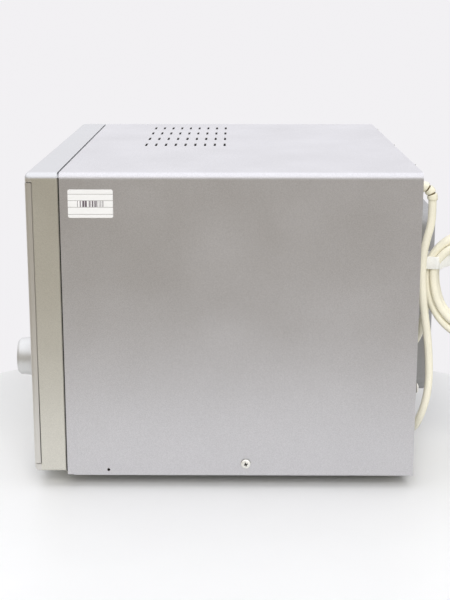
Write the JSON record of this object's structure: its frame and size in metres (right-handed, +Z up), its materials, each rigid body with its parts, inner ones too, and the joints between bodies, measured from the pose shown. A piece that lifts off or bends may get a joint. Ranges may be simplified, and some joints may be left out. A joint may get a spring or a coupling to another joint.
{
  "type": "reflow oven",
  "caption": "Compact benchtop reflow oven: sheet case with side-hinged glass door, control panel with knob and keys, heated cavity with rack, rear cover and bundled mains cord.",
  "frame": {"origin": "middle of the oven's footprint, without its cord, on the surface that it stands on", "axes": "+X to the oven's right as a user faces it, along its width; +Y from the door to the rear; +Z up"},
  "size_m": [0.4348, 0.4741, 0.275],
  "materials": {
    "case_paint": "silver metallic paint, satin",
    "front_plastic": "silver paint on moulded plastic",
    "door_plastic": "silver paint on moulded plastic",
    "zinc_steel": "zinc plated sheet",
    "cover_paint": "grey paint, satin",
    "oven_steel": "aluminised sheet",
    "screw_steel": "bright nickel plate",
    "latch_steel": "plain steel",
    "foot_rubber": "matt",
    "label_paper": "matt",
    "door_glass": "smoked, polished",
    "clear_glass": "polished",
    "seal_rubber": "silicone",
    "lens_plastic": "smoked, polished",
    "circuit_board": "solder mask",
    "dark_plastic": "matt",
    "knob_plastic": "silver paint, turned look",
    "pointer_plastic": "matt",
    "key_plastic": "satin",
    "button_plastic": "silver paint on moulded plastic",
    "wool_board": "pressed mineral wool",
    "quartz": "satin quartz tube",
    "white_ceramic": "unglazed",
    "rack_wire": "bright plate",
    "bare_aluminium": "plain",
    "motor_steel": "dark lacquer",
    "cord_sheath": "soft ivory vinyl",
    "relief_plastic": "soft ivory vinyl",
    "tie_plastic": "plain",
    "pin_plate": "nickel plate"
  },
  "bodies": {
    "oven": {"wrapper": "case_paint", "front_frame": "front_plastic", "control_panel": "front_plastic", "rear_panel": "zinc_steel", "base_pan": "zinc_steel", "front_plate": "zinc_steel", "divider_wall": "zinc_steel", "cavity_supports": "zinc_steel", "exhaust_duct": "zinc_steel", "rear_cover": "cover_paint", "cavity_liner": "oven_steel", "fan_baffle": "oven_steel", "rack_rails": "oven_steel", "side_screws": "screw_steel", "rear_screws": "screw_steel", "hinge_pins": "latch_steel", "feet": "foot_rubber", "side_label": "label_paper", "display_lens": "lens_plastic", "control_board": "circuit_board", "power_board": "circuit_board", "display_module": "dark_plastic", "encoder": "dark_plastic", "key_switches": "dark_plastic", "solid_state_relays": "dark_plastic", "door_catch": "dark_plastic", "cooling_fan_frame": "dark_plastic", "insulation_boards": "wool_board", "heaters_upper": "quartz", "heaters_lower": "quartz", "heater_holders": "white_ceramic", "wire_rack": "rack_wire", "thermocouple": "rack_wire", "heat_sink": "bare_aluminium", "convection_motor": "motor_steel", "power_cord_drop": "cord_sheath", "power_cord_hank": "cord_sheath", "power_cord_tail": "cord_sheath", "strain_relief": "relief_plastic", "plug_body": "relief_plastic", "cord_tie": "tie_plastic", "plug_pins": "pin_plate"},
    "door": {"door_frame": "door_plastic", "door_window": "door_glass", "door_inner_panel": "oven_steel", "door_inner_glass": "clear_glass", "door_gasket": "seal_rubber", "latch_hooks": "latch_steel"},
    "knob": {"knob": "knob_plastic", "knob_shaft": "latch_steel", "knob_pointer": "pointer_plastic"},
    "key_start": {"key_start": "key_plastic"},
    "key_stop": {"key_stop": "key_plastic"},
    "key_up": {"key_up": "key_plastic"},
    "key_down": {"key_down": "key_plastic"},
    "release_button": {"release_button": "button_plastic"},
    "convection_fan": {"convection_fan": "bare_aluminium", "fan_shaft": "latch_steel"},
    "cooling_fan": {"cooling_fan_rotor": "dark_plastic"}
  },
  "joints": [
    {"name": "door_hinge", "type": "hinge", "parent": "oven", "child": "door", "pos_m": [-0.2108, -0.1683, 0.14435], "axis": [0, 0, -1], "range_deg": [0, 110]},
    {"name": "knob_turn", "type": "hinge", "parent": "oven", "child": "knob", "pos_m": [0.1585, -0.1825, 0.1036], "axis": [0, 1, 0], "continuous": true},
    {"name": "key_start_press", "type": "slide", "parent": "oven", "child": "key_start", "axis": [0, 1, 0], "range_m": [0, 0.0012], "stiffness_N_per_m": 900},
    {"name": "key_stop_press", "type": "slide", "parent": "oven", "child": "key_stop", "axis": [0, 1, 0], "range_m": [0, 0.0012], "stiffness_N_per_m": 900},
    {"name": "key_up_press", "type": "slide", "parent": "oven", "child": "key_up", "axis": [0, 1, 0], "range_m": [0, 0.0012], "stiffness_N_per_m": 900},
    {"name": "key_down_press", "type": "slide", "parent": "oven", "child": "key_down", "axis": [0, 1, 0], "range_m": [0, 0.0012], "stiffness_N_per_m": 900},
    {"name": "release_button_press", "type": "slide", "parent": "oven", "child": "release_button", "axis": [0, 1, 0], "range_m": [0, 0.004], "stiffness_N_per_m": 1100},
    {"name": "convection_fan_spin", "type": "hinge", "parent": "oven", "child": "convection_fan", "pos_m": [-0.053, 0.1005, 0.145], "axis": [0, 1, 0], "continuous": true},
    {"name": "cooling_fan_spin", "type": "hinge", "parent": "oven", "child": "cooling_fan", "pos_m": [0.1583, 0.1419, 0.095], "axis": [0, 1, 0], "continuous": true}
  ]
}
